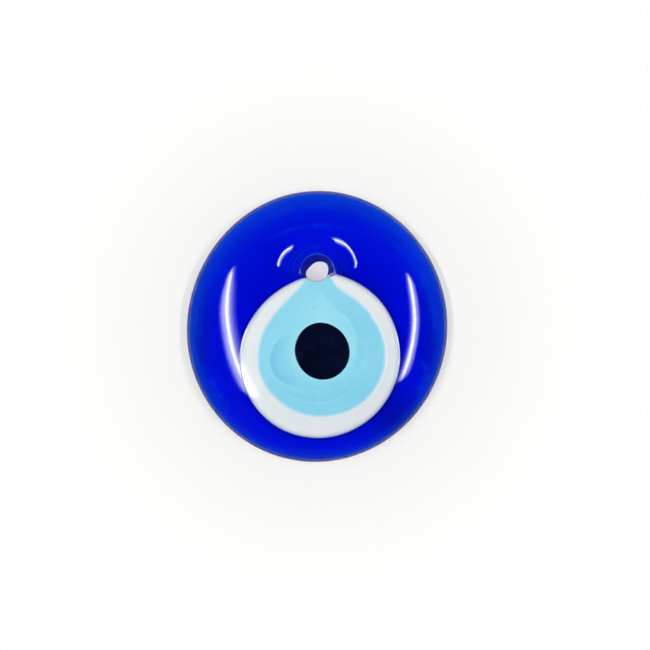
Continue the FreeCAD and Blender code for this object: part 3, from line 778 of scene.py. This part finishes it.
# painted shade: the wall is darker the deeper it lies in the bore, towards the opening
soot_and_painted_shade = mix_color(nt, spread(nt, attr(nt, "climb"), 0.15, 0.95, 0.0, 1.0), darker_tone, high)
# painted highlight along the lip, mixed into the wall's colour
nt.links.new(mix_color(nt, attr(nt, "painted_lip_highlight"), soot_and_painted_shade, srgb(78, 120, 252)), p.inputs["Base Color"])
nt.links.new(spread(nt, soot, 0.0, 1.0, 0.78, 0.6), p.inputs["Roughness"])
nt.links.new(bump(nt, soot, 0.00006, 0.8), p.inputs["Normal"])
disc.data.materials.append(mat_cobalt)
disc.data.materials.append(mat_bore)
disc.data.polygons.foreach_set("material_index", in_bore.astype(np.int32))

for ob, mat, cad, slot in ((disc, mat_cobalt, "cobalt_glass_disc", "cobalt_glass"),
                            (white, mat_white, "white_glass_layer", "white_glass"),
                            (blue, mat_blue, "light_blue_glass_layer", "light_blue_glass"),
                            (pupil, mat_pupil, "pupil_glass_drop", "dark_glass")):
    if ob is not disc:
        ob.data.materials.append(mat)
    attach(ob, "root")
    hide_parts(cad)

# =====================================================================================
# Floor, light and camera
# =====================================================================================
me = bpy.data.meshes.new("floor")
me.from_pydata([(-3, -3, -0.00003), (3, -3, -0.00003), (3, 3, -0.00003), (-3, 3, -0.00003)], [], [(0, 1, 2, 3)])
floor = bpy.data.objects.new("floor", me)
bpy.context.scene.collection.objects.link(floor)
mat_floor, nt, out = new_material("floor_paper")
p = principled(nt, out, Base_Color=(0.93, 0.93, 0.93, 1), Roughness=0.9, IOR=1.3)
# painted shade: the floor is darker and warmer within about 30 mm of the bead, fading to even pale grey by 75 mm
oc = nt.nodes.new("ShaderNodeTexCoord").outputs["Object"]
dist = nt.nodes.new("ShaderNodeVectorMath")
dist.operation = "LENGTH"
nt.links.new(oc, dist.inputs[0])
mr = nt.nodes.new("ShaderNodeMapRange")
mr.interpolation_type = "SMOOTHSTEP"
for k, v in (("From Min", 0.030), ("From Max", 0.075)):
    mr.inputs[k].default_value = v
nt.links.new(dist.outputs["Value"], mr.inputs["Value"])
mx = nt.nodes.new("ShaderNodeMix")
mx.data_type = "RGBA"
nt.links.new(mr.outputs["Result"], mx.inputs[0])
mx.inputs[6].default_value = (0.875, 0.872, 0.848, 1)
mx.inputs[7].default_value = (0.95, 0.95, 0.95, 1)
nt.links.new(mx.outputs[2], p.inputs["Base Color"])
me.materials.append(mat_floor)
floor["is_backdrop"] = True


def softbox(name, x, width, peak, profile, falloff, taper, y=0.02, length=0.80, z=1.0, strength=1.0):
    """Long softbox over one side of the bead. peak: where its bright line runs (x against y, metres);
    profile: radiance against the distance from that line (metres)."""
    li = bpy.data.lights.new(name, "AREA")
    li.shape = "RECTANGLE"
    li.size, li.size_y = width, length
    li.energy = math.pi * width * length
    li.use_nodes = True
    nt = li.node_tree
    nt.nodes.clear()
    out = nt.nodes.new("ShaderNodeOutputLight")
    em = nt.nodes.new("ShaderNodeEmission")
    nt.links.new(em.outputs[0], out.inputs[0])
    geo = nt.nodes.new("ShaderNodeNewGeometry")
    sep = nt.nodes.new("ShaderNodeSeparateXYZ")
    nt.links.new(geo.outputs["Position"], sep.inputs[0])

    def ramp(value, points, lo, hi):
        m = nt.nodes.new("ShaderNodeMapRange")
        m.inputs["From Min"].default_value, m.inputs["From Max"].default_value = lo, hi
        nt.links.new(value, m.inputs["Value"])
        r = nt.nodes.new("ShaderNodeValToRGB")
        cr = r.color_ramp
        while len(cr.elements) > 1:
            cr.elements.remove(cr.elements[-1])
        for k, (a, v) in enumerate(points):
            pos = (a - lo) / (hi - lo)
            e = cr.elements[0] if k == 0 else cr.elements.new(pos)
            e.position, e.color = pos, (v, v, v, 1)
        nt.links.new(m.outputs["Result"], r.inputs["Fac"])
        return r.outputs["Color"]

    def calc(op, a, b):
        m = nt.nodes.new("ShaderNodeMath")
        m.operation = op
        for sock, v in zip(m.inputs, (a, b)):
            if hasattr(v, "links"):
                nt.links.new(v, sock)
            else:
                sock.default_value = v
        return m.outputs[0]

    # the ramp holds the line's x shifted to 0..1
    base = min(v for _, v in peak)
    line = ramp(sep.outputs["Y"], [(a, v - base) for a, v in peak], -0.45, 0.45)
    off = calc("SUBTRACT", calc("SUBTRACT", sep.outputs["X"], base), line)
    # taper above 0.5 draws the profile in, towards a point
    off = calc("MULTIPLY", calc("MULTIPLY", off, ramp(sep.outputs["Y"], taper, -0.45, 0.45)), 2.0)
    shape = ramp(off, [(a, v) for a, v in profile], -0.16, 0.16)
    ends = ramp(sep.outputs["Y"], falloff, -0.45, 0.45)
    nt.links.new(calc("MULTIPLY", calc("MULTIPLY", shape, ends), strength), em.inputs["Strength"])
    ob = bpy.data.objects.new(name, li)
    ob.location = (x, y, z)
    bpy.context.scene.collection.objects.link(ob)
    return ob


softbox("softbox_left", -0.445, 0.50,
        [(-0.32, -0.335), (-0.26, -0.348), (-0.20, -0.364), (-0.14, -0.380), (-0.08, -0.400), (-0.02, -0.421), (0.04, -0.446),
         (0.10, -0.471), (0.16, -0.491), (0.22, -0.511), (0.28, -0.533), (0.34, -0.560)],
        [(-0.14, 0.0), (-0.11, 0.04), (-0.09, 0.12), (-0.075, 0.24), (-0.058, 0.36), (-0.035, 0.42), (-0.026, 0.55), (-0.014, 1.0),
         (0.016, 1.0), (0.028, 0.5), (0.045, 0.28), (0.07, 0.12), (0.095, 0.03), (0.12, 0.0)],
        [(-0.345, 0.0), (-0.320, 0.6), (-0.29, 1.0), (0.30, 1.0), (0.34, 0.5), (0.37, 0.0)],
        [(-0.45, 0.5), (0.12, 0.5), (0.20, 0.57), (0.28, 0.78), (0.36, 1.0)], strength=20.0)
softbox("softbox_right", 0.545, 0.46,
        [(-0.32, 0.500), (-0.26, 0.508), (-0.20, 0.514), (-0.14, 0.519), (-0.08, 0.529), (-0.02, 0.541), (0.04, 0.552),
         (0.10, 0.562), (0.16, 0.572), (0.22, 0.580), (0.28, 0.592), (0.34, 0.606)],
        [(-0.10, 0.0), (-0.08, 0.02), (-0.062, 0.08), (-0.042, 0.28), (-0.022, 0.75), (-0.014, 1.0), (0.016, 1.0), (0.026, 0.38),
         (0.045, 0.27), (0.064, 0.25), (0.08, 0.13), (0.10, 0.03), (0.13, 0.0)],
        [(-0.315, 0.0), (-0.275, 0.7), (-0.24, 1.0), (0.27, 1.0), (0.31, 0.5), (0.335, 0.0)],
        [(-0.45, 0.5), (0.18, 0.5), (0.26, 0.60), (0.34, 0.80)], strength=20.0)

# broad overhead fill, too diffuse to leave a reflection of its own
sun = bpy.data.lights.new("overhead_fill", "SUN")
sun.energy = 1.72
sun.use_shadow = False
sun.angle = math.radians(16)
sun_ob = bpy.data.objects.new("overhead_fill", sun)
sun_ob.location = (0, 0, 1.2)
sun_ob.visible_glossy = False
sun_ob.visible_transmission = False
bpy.context.scene.collection.objects.link(sun_ob)

world = bpy.data.worlds.new("studio")
bpy.context.scene.world = world
world.use_nodes = True
wn = world.node_tree
wn.nodes.clear()
wo = wn.nodes.new("ShaderNodeOutputWorld")
room = wn.nodes.new("ShaderNodeBackground")
dark = wn.nodes.new("ShaderNodeBackground")
mixw = wn.nodes.new("ShaderNodeMixShader")
lp = wn.nodes.new("ShaderNodeLightPath")
tc = wn.nodes.new("ShaderNodeTexCoord")
sep = wn.nodes.new("ShaderNodeSeparateXYZ")
ramp = wn.nodes.new("ShaderNodeValToRGB")
wn.links.new(tc.outputs["Generated"], sep.inputs[0])
wn.links.new(sep.outputs["Z"], ramp.inputs[0])
wn.links.new(ramp.outputs[0], dark.inputs["Color"])
cr = ramp.color_ramp
cr.elements[0].position, cr.elements[0].color = 0.0, (0.15, 0.15, 0.15, 1)
cr.elements[1].position, cr.elements[1].color = 0.95, (0.0, 0.0, 0.0, 1)
for pos, v in ((0.10, 0.09), (0.2, 0.035), (0.4, 0.012), (0.6, 0.003)):
    e = cr.elements.new(pos)
    e.color = (v, v, v, 1)
room.inputs["Color"].default_value = (0.16, 0.16, 0.16, 1)
wn.links.new(lp.outputs["Is Glossy Ray"], mixw.inputs[0])
wn.links.new(room.outputs[0], mixw.inputs[1])
wn.links.new(dark.outputs[0], mixw.inputs[2])
# behind the floor the backdrop is as pale as the floor
backdrop = wn.nodes.new("ShaderNodeBackground")
backdrop.inputs["Color"].default_value = (0.86, 0.86, 0.86, 1)
seen = wn.nodes.new("ShaderNodeMixShader")
wn.links.new(lp.outputs["Is Camera Ray"], seen.inputs[0])
wn.links.new(mixw.outputs[0], seen.inputs[1])
wn.links.new(backdrop.outputs[0], seen.inputs[2])
wn.links.new(seen.outputs[0], wo.inputs[0])

scene = bpy.context.scene
scene.view_settings.view_transform = "Standard"
scene.view_settings.look = "None"
scene.view_settings.exposure = 0.0
scene.view_settings.gamma = 1.0

cam = bpy.data.cameras.new("camera")
cam.lens = 100
cam.sensor_width = 36
cam.clip_start = 0.01
cam_ob = bpy.data.objects.new("camera", cam)
cam_ob.location = (0.00183, 0.0003, 0.4182)
cam_ob.rotation_euler = (0, 0, 0)
scene.collection.objects.link(cam_ob)
scene.camera = cam_ob

bpy.context.view_layer.update()
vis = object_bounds()
as_list = lambda b: [[float(v) for v in p] for p in b]
{"cad": as_list(cad_box), "visual": as_list(vis)}
